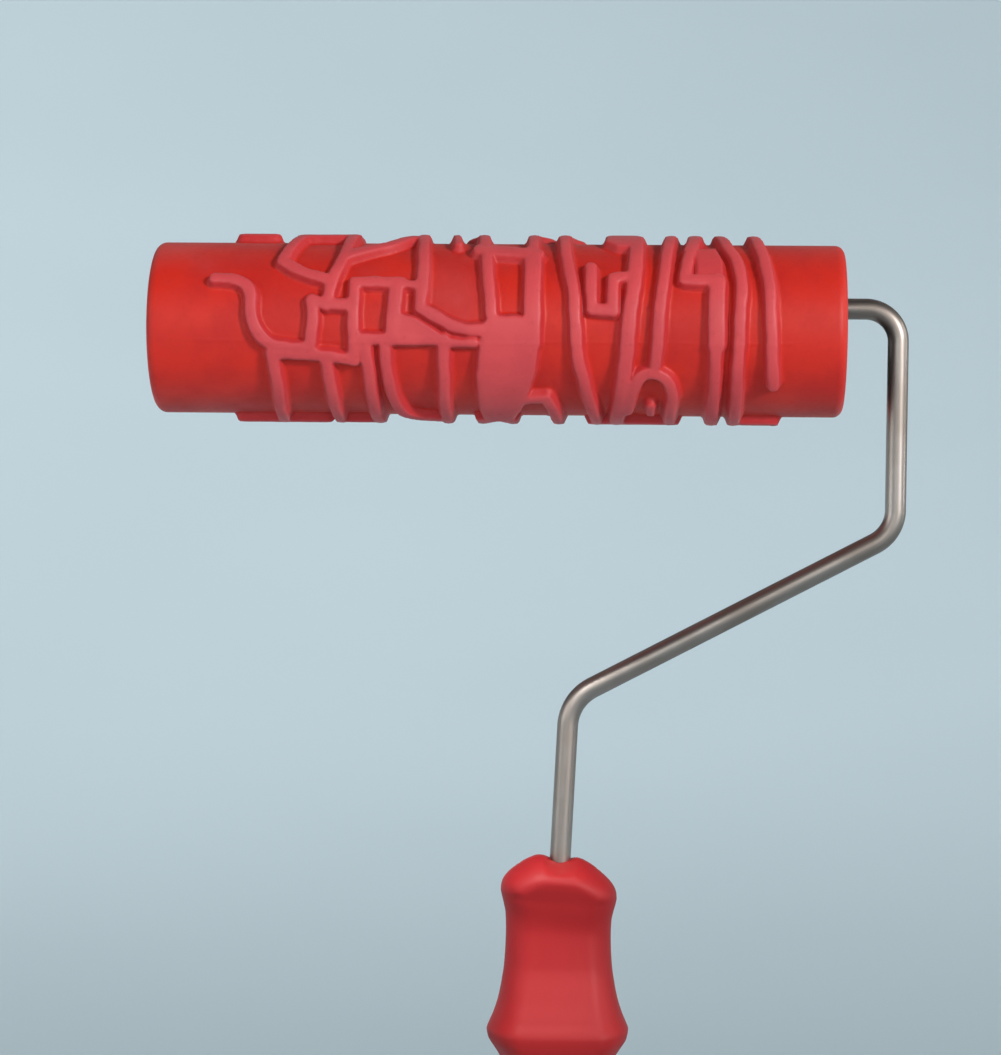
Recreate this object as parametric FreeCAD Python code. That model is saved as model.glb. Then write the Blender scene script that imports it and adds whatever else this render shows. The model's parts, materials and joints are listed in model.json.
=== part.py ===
"""Textured pattern roller: a relief-patterned rubber roller on a bent wire frame with a plastic handle.

Millimetres. The origin is the middle of the pole socket's mouth, at the handle's lower end.
+Z runs up the handle to the roller, X runs along the roller and -Y is the front.
"""
import FreeCAD, Part
import math
import os

Vector = FreeCAD.Vector

# Roller
ROLLER_LENGTH = 180.0
BASE_RADIUS = 22.4          # plain rubber between the ribs
RELIEF_HEIGHT = 2.4         # ribs above the plain rubber
EDGE_ROUNDING = 2.5         # rubber's outer edges at both ends
RUBBER_THICKNESS = 3.2
CORE_WALL = 1.4

# Wire frame, drawn in the XZ plane
WIRE_DIAMETER = 5.5
AXLE_ABOVE_ROLLER_AXIS = 6.0    # the roller hangs on its axle by the top of its bores
BORE_SLACK = 0.1                # daylight left between the axle and the top of the bores
ARM_X = 104.5                   # side arm, measured from the roller's middle
ARM_LEAN = 0.4                  # its foot is this much nearer the roller
ARM_FOOT = -52.5                # heights below are measured from the roller's axis
DIAGONAL_FOOT_X = 19.4
DIAGONAL_FOOT = -97.0
HANDLE_X = 17.2
TANG_BEND = -145.0
TANG_END = -206.0
SHOULDER_BEND_RADIUS = 8.5
FOOT_BEND_RADIUS = 10.0
NECK_BEND_RADIUS = 12.0
TANG_BEND_RADIUS = 40.0
TANG_EAR_WIDTH = 9.0            # the tang is pinched flat so that it can't turn in the handle
TANG_EAR_THICKNESS = 2.6
TANG_EAR_LENGTH = 9.0
TANG_EAR_TOP = -186.0

# End caps, washers and stops
CAP_DEPTH = 14.0
CAP_SKIRT_WALL = 1.2
CAP_RIM_THICKNESS = 1.2
CAP_RIM_GAP = 0.2               # between the cap's rim and the rubber round it
CAP_WEB_THICKNESS = 4.0
CAP_HUB_LENGTH = 6.0
CAP_HUB_WALL = 2.4
WASHER_RADIUS = 10.0
WASHER_THICKNESS = 1.2
WASHER_CLEARANCE = 0.08         # radial, on the wire
SIDE_PLAY = 0.4
COLLAR_RADIUS = 5.0
COLLAR_LENGTH = 4.5
NUT_RADIUS = 7.5
NUT_THICKNESS = 0.9
NUT_HUB_RADIUS = 4.6
NUT_HUB_LENGTH = 2.6
NUT_SLOTS = 6
NUT_SLOT_WIDTH = 1.0
AXLE_END_PROUD = 2.0            # wire beyond the push nut

# Handle: radii of its turned shape at heights below the roller's axis, from the top flat down
HANDLE_TOP = -138.0
HANDLE_END = -262.0
CROWN = [(5.0, HANDLE_TOP), (8.4, -139.7), (12.5, -142.7), (15.0, -147.4)]
NECK = [(15.0, -147.4), (14.2, -151.9), (13.7, -158.0), (14.1, -166.6), (15.6, -175.0), (18.5, -183.6)]
UNDERCUT = [(18.5, -183.6), (16.8, -187.6), (14.6, -191.5), (13.5, -197.0)]
GRIP = [(13.5, -197.0), (13.8, -212.0), (14.7, -229.0), (14.3, -247.0), (13.1, HANDLE_END)]
# Half depth of the front and back flats that cut the turned shape, down to where they run out of it
FLATS_DEPTH = [
    (12.4, HANDLE_TOP), (12.3, -143.5), (10.6, -150.0), (8.9, -158.0), (9.3, -166.0),
    (11.5, -174.0), (14.0, -180.0), (15.7, -185.0), (16.4, -192.0)]
FLATS_WIDTH = 40.0

# Pole socket
SOCKET_RADIUS = 9.0
SOCKET_DEPTH = 32.0
INSERT_WALL = 2.0
INSERT_FLANGE_RADIUS = 11.8
INSERT_FLANGE_THICKNESS = 1.6
INSERT_FLOOR = 2.0

# Worked out from the above
OUTER_RADIUS = BASE_RADIUS + RELIEF_HEIGHT
CORE_RADIUS = BASE_RADIUS - RUBBER_THICKNESS
CORE_BORE = CORE_RADIUS - CORE_WALL
WIRE_RADIUS = WIRE_DIAMETER / 2
CAP_BORE = AXLE_ABOVE_ROLLER_AXIS + WIRE_RADIUS + BORE_SLACK
HALF = ROLLER_LENGTH / 2
WEB_OUTER_X = HALF - CAP_DEPTH + CAP_WEB_THICKNESS
WASHER_X = WEB_OUTER_X + SIDE_PLAY
STOP_X = WASHER_X + WASHER_THICKNESS + SIDE_PLAY
AXLE_END_X = -(STOP_X + NUT_HUB_LENGTH + AXLE_END_PROUD)
TO_ROW_FRAME = Vector(-HANDLE_X, 0, -HANDLE_END)

# The relief. Each rib is (width, centre line), and a point is (mm along the roller from its middle,
# degrees round it from the front, upwards). 90 is the top, -90 the bottom and 180 the back.
FINE, PLAIN, MEDIUM, BROAD = 2.8, 3.6, 4.3, 5.0
RIBS = [
    # left third, front
    (PLAIN, [(-72, 28), (-67, 28), (-62.7, 22), (-62.4, 2), (-60.7, -7), (-57, -15), (-48, -16)]),
    (PLAIN, [(-57, -19), (-46, -20), (-36, -23)]),
    (PLAIN, [(-57, -19), (-56, -40), (-56, -95), (-57, -130), (-61, -142), (-61, -172)]),
    (PLAIN, [(-43, -24), (-42, -50), (-41, -92), (-41, -125), (-47, -133), (-47, -160), (-40, -168)]),
    (PLAIN, [(-67, -88), (-45, -88)]),
    (FINE, [(-39, -87), (-31, -87)]),
    (BROAD, [(-66.5, 86), (-59.5, 86)]),
    (PLAIN, [(-66, 86), (-66, 120), (-62, 128), (-62, 165)]),
    (PLAIN, [(-42, 27), (-50, 33), (-55, 42), (-51, 78), (-38, 80), (-39, 47), (-42, 27)]),
    (PLAIN, [(-39, 47), (-34, 54), (-28, 59), (-22, 75)]),
    (PLAIN, [(-42, 27), (-43, 11), (-37, 11)]),
    (PLAIN, [(-43, 11), (-46.8, 14), (-46.3, 4), (-47.3, -16)]),
    (PLAIN, [(-24, 26), (-36, 26), (-36, -23)]),
    (FINE, [(-25, 25), (-19, 24)]),
    # middle, front
    (MEDIUM, [(-25, 25), (-26.2, -9)]),
    (PLAIN, [(-34, -10), (-13, -10), (-13, -92), (-14, -140), (-18, -146), (-18, -180)]),
    (PLAIN, [(-33, -12), (-32, -40), (-31, -92), (-31, -120), (-34, -127), (-34, -178)]),
    (PLAIN, [(-28, -15), (-27.5, -34), (-26.2, -52), (-24.5, -68), (-21, -76), (-15, -79)]),
    (PLAIN, [(-25, 165), (-25, 118), (-20, 110), (-19.5, 77),
             (-18.4, 40), (-19, 9), (-15, 4), (-9, -4), (-3, -4)]),
    (FINE, [(-12, -12), (-5, -12)]),
    (FINE, [(-10, 62), (-11, 84), (-12, 112)]),
    (PLAIN, [(-3, 195), (-3, 156), (-8, 150), (-8, 106), (-4, 96), (-3.7, 74), (-2.3, 40), (-0.7, 6)]),
    (BROAD, [(-4, 55), (10, 50)]),
    (PLAIN, [(14, 135), (14, 103), (9.3, 95), (9.3, 50)]),
    (BROAD, [(9.3, 50), (9.8, 4), (9.5, -12)]),
    (PLAIN, [(7, -52), (13, -51), (15, -62), (16, -84), (16, -115), (11, -122), (11, -150)]),
    (PLAIN, [(-4, -80), (-4, -100), (0, -108), (4, -100), (4, -80)]),
    # right third, front
    (PLAIN, [(17, 76), (18.2, 42), (20, 25), (20.6, 8), (21, -19), (22.8, -36), (26, -75), (26, -105)]),
    (PLAIN, [(17, 76), (18, 100), (22, 108), (22, 170), (19, 178), (19, 210), (26, 222), (26, 255)]),
    (PLAIN, [(24.3, 38), (24.8, 9), (30.2, 8), (30.2, 30), (33, 31)]),
    (MEDIUM, [(36.3, 76), (35.8, 37), (33.9, -12), (32.4, -50), (31.4, -72), (31, -92)]),
    (PLAIN, [(45, 85), (43.4, 38), (42.2, 11), (41.1, -25)]),
    (PLAIN, [(34, -64), (35, -44), (37, -33), (40, -30), (44, -34), (46, -46), (45, -61), (45, -88)]),
    (FINE, [(40, -58), (40, -66)]),
    (PLAIN, [(25, -87), (46, -87)]),
    (MEDIUM, [(51, 98), (51.4, 80), (50, 55)]),
    (PLAIN, [(50, 55), (48.3, 29), (56, 28)]),
    (BROAD, [(56.6, 28), (56.6, -12)]),
    (PLAIN, [(56.4, -12), (55.8, -92)]),
    (PLAIN, [(56, -92), (55, -128), (51, -134), (51, -165)]),
    (PLAIN, [(57, 100), (57.5, 82), (59.5, 58), (62, 44), (63, 28), (62.4, 0), (62, -40), (61.6, -92)]),
    (PLAIN, [(61.6, -92), (62, -120), (66, -128), (66, -170), (62, -176)]),
    (PLAIN, [(71.2, -39), (70.5, -6), (69.9, 26), (68, 54), (66.2, 83), (66, 120), (70, 126), (70, 168)]),
    (PLAIN, [(64, -86), (72, -86), (72, -110)]),
    # back
    (PLAIN, [(-54, 104), (-49, 150), (-45, 104)]),
    (PLAIN, [(-38, 80), (-37, 118), (-31, 124), (-31, 150)]),
    (FINE, [(-56, 196), (-50, 196), (-50, 176), (-40, 176)]),
    (PLAIN, [(28, 112), (38, 112), (38, 150), (28, 150), (28, 112)]),
    (FINE, [(28, 131), (38, 131)]),
    (PLAIN, [(31, -92), (32, -118), (38, -140), (47, -152)]),
    (PLAIN, [(45, -88), (44, -112), (38, -140)]),
    (PLAIN, [(45, 85), (46, 110), (42, 118), (42, 160), (47, 168), (47, 190)]),
    (PLAIN, [(52, 165), (56, 112), (60, 165)]),
    (FINE, [(54, 142), (58, 142)]),
    (FINE, [(2, 120), (2, 150), (8, 150), (8, 176)]),
    (PLAIN, [(3, -130), (5, -165), (12, -176)]),
]
# Raised flats between the ribs, as outlines in the same measure
FLATS = [
    [(-1, 6), (9.8, 5), (11.6, -6), (11.3, -18), (10.5, -34), (-5, -34), (-4.4, -18), (-3.6, -8), (-3, 0)],
    [(-5, -34), (10.5, -34), (9.4, -42), (8, -54), (-4.6, -54)],
    [(-4.6, -54), (8, -54), (5.6, -70), (4.6, -82), (-3.4, -82)],
    [(-25, 7), (-20, 4), (-14, -5), (-12, -10), (-25, -10)],
    [(28, 95), (27.5, 66), (31, 58), (37.5, 57), (37.5, 95)],
    [(51, 56), (56.5, 58), (58.4, 44), (58.8, 28), (51, 28)],
]
LONGEST_STEP = 34.0         # degrees one straight-sided stretch of a rib may cover
STRETCH_OVERLAP = 0.5       # stretches of one run reach into each other this far
CORNER_SIDES = 8
CORNER_OVERSIZE = 1.05      # a corner's prism against its rib's width
OVERSHOOT = 1.0             # prisms start this far inside the core and end this far above the relief
ROOT_MARGIN = 1.0           # rubber left between the trimmed prisms and the core


def ring(radius, bore, length, x, direction=1):
    """A tube along X that starts at x and runs in the given direction."""
    along = Vector(direction, 0, 0)
    start = Vector(x, 0, 0)
    tube = Part.makeCylinder(radius, length, start, along)
    return tube.cut(Part.makeCylinder(bore, length, start, along))


def tangent_prism(angle, outline):
    """Extrude outwards an (x, across) outline that lies in the plane tangent to the roller at an angle."""
    turn = math.radians(angle)
    outwards = Vector(0, -math.cos(turn), math.sin(turn))
    across = Vector(0, math.sin(turn), math.cos(turn))
    floor = CORE_RADIUS * math.cos(math.radians(LONGEST_STEP / 2)) - OVERSHOOT
    corners = [Vector(x, 0, 0) + across * t + outwards * floor for x, t in outline]
    face = Part.Face(Part.makePolygon(corners + corners[:1]))
    return face.extrude(outwards * (OUTER_RADIUS + OVERSHOOT - floor))


def across(angle, middle):
    """Distance across the tangent plane at the middle angle of a point on the relief."""
    return (OUTER_RADIUS - RELIEF_HEIGHT / 2) * math.sin(math.radians(angle - middle))


def rib_corner(point, width):
    x, angle = point
    radius = width / 2 * CORNER_OVERSIZE
    turns = [2 * math.pi * (side + 0.5) / CORNER_SIDES for side in range(CORNER_SIDES)]
    return tangent_prism(angle, [(x + radius * math.cos(t), radius * math.sin(t)) for t in turns])


def rib_stretch(start, end, width, overlap):
    middle = (start[1] + end[1]) / 2
    head = Vector(start[0], across(start[1], middle), 0)
    foot = Vector(end[0], across(end[1], middle), 0)
    along = (foot - head).normalize()
    side = along.cross(Vector(0, 0, 1)) * (width / 2)
    head, foot = head - along * overlap[0], foot + along * overlap[1]
    return tangent_prism(middle, [(p.x, p.y) for p in (head + side, foot + side, foot - side, head - side)])


def rib(width, line):
    """All the solids of one rib: a prism at each point and straight-sided stretches between them."""
    pieces = [rib_corner(point, width) for point in dict.fromkeys(line)]
    for start, end in zip(line, line[1:]):
        steps = math.ceil(max(1.0, abs(end[1] - start[1])) / LONGEST_STEP)
        for step in range(steps):
            near = [a + (b - a) * step / steps for a, b in zip(start, end)]
            far = [a + (b - a) * (step + 1) / steps for a, b in zip(start, end)]
            overlap = (STRETCH_OVERLAP if step > 0 else 0, STRETCH_OVERLAP if step < steps - 1 else 0)
            pieces.append(rib_stretch(near, far, width, overlap))
    return pieces


def flat(outline):
    middle = (min(a for _, a in outline) + max(a for _, a in outline)) / 2
    return tangent_prism(middle, [(x, across(a, middle)) for x, a in outline])


def rubber_sleeve():
    """Rounded tube with every rib and flat standing on it."""
    r, e = BASE_RADIUS, EDGE_ROUNDING
    diagonal = e * (1 - math.sqrt(0.5))
    corner = [Vector(HALF - e, 0, r), Vector(HALF - diagonal, 0, r - diagonal), Vector(HALF, 0, r - e)]
    mirrored = [Vector(-p.x, 0, p.z) for p in reversed(corner)]
    floor = [Vector(HALF, 0, CORE_RADIUS), Vector(-HALF, 0, CORE_RADIUS)]
    profile = Part.Wire([
        Part.LineSegment(mirrored[2], corner[0]).toShape(),
        Part.Arc(*corner).toShape(),
        Part.LineSegment(corner[2], floor[0]).toShape(),
        Part.LineSegment(floor[0], floor[1]).toShape(),
        Part.LineSegment(floor[1], mirrored[0]).toShape(),
        Part.Arc(*mirrored).toShape(),
    ])
    base = Part.Face(profile).revolve(Vector(0, 0, 0), Vector(1, 0, 0), 360)
    pieces = [piece for width, line in RIBS for piece in rib(width, line)] + [flat(f) for f in FLATS]
    relief = pieces[0].multiFuse(pieces[1:]).removeSplitter()
    relief = relief.common(ring(OUTER_RADIUS, CORE_RADIUS + ROOT_MARGIN, ROLLER_LENGTH, -HALF))
    return base.fuse(relief)


def core_tube():
    length = ROLLER_LENGTH - 2 * CAP_RIM_THICKNESS
    return ring(CORE_RADIUS, CORE_BORE, length, -length / 2)


def end_cap(side):
    """Cup-shaped plug: rim over the tube's end, skirt inside it, and a web and hub with the bore."""
    rim = ring(CORE_RADIUS - CAP_RIM_GAP, CORE_BORE - CAP_SKIRT_WALL, CAP_RIM_THICKNESS, side * HALF, -side)
    skirt = ring(CORE_BORE, CORE_BORE - CAP_SKIRT_WALL, CAP_DEPTH, side * HALF, -side)
    web = ring(CORE_BORE, CAP_BORE, CAP_WEB_THICKNESS, side * WEB_OUTER_X, -side)
    hub_x = side * (WEB_OUTER_X - CAP_WEB_THICKNESS)
    hub = ring(CAP_BORE + CAP_HUB_WALL, CAP_BORE, CAP_HUB_LENGTH, hub_x, -side)
    return rim.fuse(skirt).fuse(web).fuse(hub).removeSplitter()


def on_axle(shape):
    shape.translate(Vector(0, 0, AXLE_ABOVE_ROLLER_AXIS))
    return shape


def washer(side):
    bore = WIRE_RADIUS + WASHER_CLEARANCE
    return on_axle(ring(WASHER_RADIUS, bore, WASHER_THICKNESS, side * WASHER_X, side))


def stop_collar():
    return on_axle(ring(COLLAR_RADIUS, WIRE_RADIUS, COLLAR_LENGTH, STOP_X))


def push_nut():
    """Pressed steel disc with a raised hub, slotted so that its teeth bite the wire."""
    disc = ring(NUT_RADIUS, NUT_HUB_RADIUS - NUT_THICKNESS, NUT_THICKNESS, -STOP_X, -1)
    wall = ring(NUT_HUB_RADIUS, NUT_HUB_RADIUS - NUT_THICKNESS, NUT_HUB_LENGTH, -STOP_X, -1)
    crown = ring(NUT_HUB_RADIUS, WIRE_RADIUS, NUT_THICKNESS, -STOP_X - NUT_HUB_LENGTH + NUT_THICKNESS, -1)
    nut = disc.fuse(wall).fuse(crown)
    slot_size = (NUT_THICKNESS * 2, NUT_SLOT_WIDTH, NUT_HUB_RADIUS - NUT_THICKNESS)
    slot_corner = Vector(-STOP_X - NUT_HUB_LENGTH - NUT_THICKNESS / 2, -NUT_SLOT_WIDTH / 2, 0)
    for slot in range(NUT_SLOTS):
        blade = Part.makeBox(*slot_size, slot_corner)
        blade.rotate(Vector(0, 0, 0), Vector(1, 0, 0), 360 * slot / NUT_SLOTS)
        nut = nut.cut(blade)
    return on_axle(nut.removeSplitter())


def bent_path(corners, radii):
    """Straight runs joined by tangent arcs, one arc at each inner corner."""
    edges = []
    start = corners[0]
    for before, corner, after, radius in zip(corners, corners[1:], corners[2:], radii):
        back = (before - corner).normalize()
        on = (after - corner).normalize()
        half_turn = (math.pi - back.getAngle(on)) / 2
        reach = radius * math.tan(half_turn)
        inwards = (back + on).normalize()
        middle = corner + inwards * (radius / math.cos(half_turn) - radius)
        edges.append(Part.LineSegment(start, corner + back * reach).toShape())
        edges.append(Part.Arc(corner + back * reach, middle, corner + on * reach).toShape())
        start = corner + on * reach
    edges.append(Part.LineSegment(start, corners[-1]).toShape())
    return Part.Wire(edges)


def wire_frame():
    """One round wire from the axle's free end to the tang, with two ears pinched on the tang."""
    corners = [
        Vector(AXLE_END_X, 0, AXLE_ABOVE_ROLLER_AXIS),
        Vector(ARM_X, 0, AXLE_ABOVE_ROLLER_AXIS),
        Vector(ARM_X - ARM_LEAN, 0, ARM_FOOT),
        Vector(DIAGONAL_FOOT_X, 0, DIAGONAL_FOOT),
        Vector(HANDLE_X, 0, TANG_BEND),
        Vector(HANDLE_X, 0, TANG_END),
    ]
    radii = [SHOULDER_BEND_RADIUS, FOOT_BEND_RADIUS, NECK_BEND_RADIUS, TANG_BEND_RADIUS]
    path = bent_path(corners, radii)
    section = Part.Wire(Part.makeCircle(WIRE_RADIUS, corners[0], Vector(1, 0, 0)))
    wire = path.makePipeShell([section], True, True)
    print("wire: volume / (section x length) =",
          round(wire.Volume / (math.pi * WIRE_RADIUS ** 2 * path.Length), 5))
    return wire.fuse(tang_ears())


def tang_ears():
    corner = Vector(HANDLE_X - TANG_EAR_WIDTH / 2, -TANG_EAR_THICKNESS / 2, TANG_EAR_TOP - TANG_EAR_LENGTH)
    return Part.makeBox(TANG_EAR_WIDTH, TANG_EAR_THICKNESS, TANG_EAR_LENGTH, corner)


def spline(points):
    curve = Part.BSplineCurve()
    curve.interpolate(points)
    return curve.toShape()


def straight_run(*points):
    return Part.makePolygon(points).Edges


def turned_handle():
    """Crown, waisted neck, undercut and grip, turned about the handle's axis."""
    outline = [spline([Vector(r, 0, z) for r, z in stretch]) for stretch in (CROWN, NECK, UNDERCUT, GRIP)]
    top, end = CROWN[0], GRIP[-1]
    axis = straight_run(Vector(end[0], 0, end[1]), Vector(0, 0, end[1]),
                        Vector(0, 0, top[1]), Vector(top[0], 0, top[1]))
    face = Part.Face(Part.Wire(outline + axis))
    return face.revolve(Vector(0, 0, 0), Vector(0, 0, 1), 360)


def between_flats():
    """The slab that the front and back flats leave, wider than the handle below them."""
    side = -FLATS_WIDTH / 2
    front = spline([Vector(side, -y, z) for y, z in FLATS_DEPTH])
    back = spline([Vector(side, y, z) for y, z in reversed(FLATS_DEPTH)])
    depth, low = FLATS_DEPTH[-1]
    under = straight_run(Vector(side, -depth, low), Vector(side, -depth, HANDLE_END),
                         Vector(side, depth, HANDLE_END), Vector(side, depth, low))
    top_depth = FLATS_DEPTH[0][0]
    top = straight_run(Vector(side, top_depth, HANDLE_TOP), Vector(side, -top_depth, HANDLE_TOP))
    return Part.Face(Part.Wire([front] + under + [back] + top)).extrude(Vector(FLATS_WIDTH, 0, 0))


def handle_body(wire):
    """The handle with its flats, moulded round the tang and bored for the socket's insert."""
    handle = turned_handle().common(between_flats())
    handle.translate(Vector(HANDLE_X, 0, 0))
    socket = cylinder_up(SOCKET_RADIUS + INSERT_WALL, SOCKET_DEPTH + INSERT_FLOOR, HANDLE_END)
    recess = cylinder_up(INSERT_FLANGE_RADIUS, INSERT_FLANGE_THICKNESS, HANDLE_END)
    return handle.cut(socket.fuse(recess)).cut(wire)


def cylinder_up(radius, length, height):
    return Part.makeCylinder(radius, length, Vector(HANDLE_X, 0, height))


def pole_socket_insert():
    """Flanged bush with a closed end, for a plain extension pole."""
    body = cylinder_up(SOCKET_RADIUS + INSERT_WALL, SOCKET_DEPTH + INSERT_FLOOR, HANDLE_END)
    flange = cylinder_up(INSERT_FLANGE_RADIUS, INSERT_FLANGE_THICKNESS, HANDLE_END)
    return body.fuse(flange).cut(cylinder_up(SOCKET_RADIUS, SOCKET_DEPTH, HANDLE_END)).removeSplitter()


def main():
    os.makedirs("parts", exist_ok=True)
    frame = wire_frame()
    nodes = {
        "rubber_sleeve": rubber_sleeve(),
        "core_tube": core_tube(),
        "end_cap_left": end_cap(-1),
        "end_cap_right": end_cap(1),
        "washer_left": washer(-1),
        "washer_right": washer(1),
        "stop_collar": stop_collar(),
        "push_nut": push_nut(),
        "wire_frame": frame,
        "handle_body": handle_body(frame),
        "pole_socket_insert": pole_socket_insert(),
    }
    for name, shape in nodes.items():
        shape.translate(TO_ROW_FRAME)
        shape.exportStep("parts/" + name + ".step")
        box = shape.BoundBox
        print(name, "valid" if shape.isValid() else "NOT VALID", len(shape.Solids), "solid(s)",
              len(shape.Faces), "faces", round(shape.Volume), "mm3",
              [round(v, 1) for v in (box.XMin, box.YMin, box.ZMin, box.XMax, box.YMax, box.ZMax)])


main()
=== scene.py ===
"""Looks of the textured pattern roller: its rubber relief, bent wire, handle and end fittings.

Metres, in the CAD frame: +Z up the handle, X along the roller, -Y the front. Shapes are written in
millimetres from the roller's middle and turned into the frame's metres by placed().
"""

import json
import math

import bmesh
import bpy
import numpy as np
from mathutils import Matrix, Vector


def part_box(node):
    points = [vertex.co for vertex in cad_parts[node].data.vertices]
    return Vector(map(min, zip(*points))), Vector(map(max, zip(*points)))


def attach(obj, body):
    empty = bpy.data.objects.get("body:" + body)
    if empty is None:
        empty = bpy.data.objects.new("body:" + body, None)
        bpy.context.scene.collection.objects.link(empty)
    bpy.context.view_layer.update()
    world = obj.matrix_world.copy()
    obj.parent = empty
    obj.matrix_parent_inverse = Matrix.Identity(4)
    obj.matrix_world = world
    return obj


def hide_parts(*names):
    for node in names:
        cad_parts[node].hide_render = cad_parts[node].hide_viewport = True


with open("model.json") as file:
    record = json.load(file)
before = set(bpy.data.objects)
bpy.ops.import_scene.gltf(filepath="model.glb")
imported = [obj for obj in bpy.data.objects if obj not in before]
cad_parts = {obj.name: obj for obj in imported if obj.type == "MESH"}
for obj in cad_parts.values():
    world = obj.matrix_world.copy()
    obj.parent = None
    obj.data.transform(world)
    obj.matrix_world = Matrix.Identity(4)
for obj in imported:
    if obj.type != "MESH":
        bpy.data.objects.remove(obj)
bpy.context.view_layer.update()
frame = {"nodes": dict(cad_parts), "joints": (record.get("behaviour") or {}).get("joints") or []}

MM = 0.001
TAU = 2 * math.pi

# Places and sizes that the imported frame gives
JOINTS = {joint["name"]: joint for joint in frame["joints"]}
ROLLER = Vector(JOINTS["roller_spin"]["pos_m"])
AXLE_RISE = (JOINTS["washer_right_spin"]["pos_m"][2] - ROLLER.z) / MM
SLEEVE_LOW, SLEEVE_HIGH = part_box("rubber_sleeve")
CORE_LOW, CORE_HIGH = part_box("core_tube")
WIRE_LOW, WIRE_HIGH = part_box("wire_frame")
HANDLE_LOW, HANDLE_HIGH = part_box("handle_body")

HALF_LENGTH = (SLEEVE_HIGH.x - SLEEVE_LOW.x) / 2 / MM
OUTER_RADIUS = (SLEEVE_HIGH.z - SLEEVE_LOW.z) / 2 / MM
CORE_RADIUS = (CORE_HIGH.z - CORE_LOW.z) / 2 / MM
WIRE_RADIUS = (WIRE_HIGH.y - WIRE_LOW.y) / 2 / MM
HANDLE_X = (HANDLE_LOW.x + HANDLE_HIGH.x) / 2 / MM - ROLLER.x / MM
HANDLE_END = -ROLLER.z / MM


# ---------------------------------------------------------------- mesh helpers

def placed(points):
    """Millimetres from the roller's middle, as metres in the frame."""
    return np.asarray(points, float) * MM + np.array(ROLLER)


def smoothstep(value, low, high):
    t = np.clip((value - low) / (high - low), 0, 1)
    return t * t * (3 - 2 * t)


def piece(name, vertices, faces, body, stands_for, finish):
    """A closed smooth-shaded mesh that rides on a body and stands for CAD nodes."""
    mesh = bpy.data.meshes.new(name)
    mesh.from_pydata([tuple(v) for v in vertices], [], faces)
    tidy = bmesh.new()
    tidy.from_mesh(mesh)
    bmesh.ops.recalc_face_normals(tidy, faces=tidy.faces)
    tidy.to_mesh(mesh)
    tidy.free()
    mesh.shade_smooth()
    made = bpy.data.objects.new(name, mesh)
    bpy.context.scene.collection.objects.link(made)
    mesh.materials.append(finish)
    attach(made, body)
    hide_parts(*stands_for)
    return made


def ring_faces(rings, around, loop):
    """Quads between rings of vertices; with loop the last ring joins the first."""
    faces = []
    for ring in range(rings if loop else rings - 1):
        near, far = ring * around, (ring + 1) % rings * around
        for j in range(around):
            k = (j + 1) % around
            faces.append((near + j, near + k, far + k, far + j))
    return faces


def rounded(outline, steps=4):
    """A closed outline of (along, radius, rounding) corners, with each corner turned into a curve."""
    points = []
    for before, corner, after in zip(outline[-1:] + outline[:-1], outline, outline[1:] + outline[:1]):
        here = np.array(corner[:2], float)
        back, on = np.array(before[:2]) - here, np.array(after[:2]) - here
        reach = min(corner[2], 0.45 * np.linalg.norm(back), 0.45 * np.linalg.norm(on))
        start = here + back / np.linalg.norm(back) * reach
        end = here + on / np.linalg.norm(on) * reach
        for t in np.linspace(0, 1, steps + 1):
            points.append((1 - t) ** 2 * start + 2 * t * (1 - t) * here + t * t * end)
    return points


def turned(outline, centre, upright=False, around=96, shaped=None):
    """Vertices and faces of a closed outline turned about an axis along X, or along Z if upright."""
    profile = np.array(rounded(outline))
    vertices = []
    for along, radius in profile:
        for j in range(around):
            angle = TAU * j / around
            a, r = shaped(along, radius, angle) if shaped else (along, radius)
            across, up = r * math.cos(angle), r * math.sin(angle)
            vertices.append((across, up, a) if upright else (a, across, up))
    return placed(np.array(vertices) + np.array(centre)), ring_faces(len(profile), around, True)


# ---------------------------------------------------------------- materials

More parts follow.
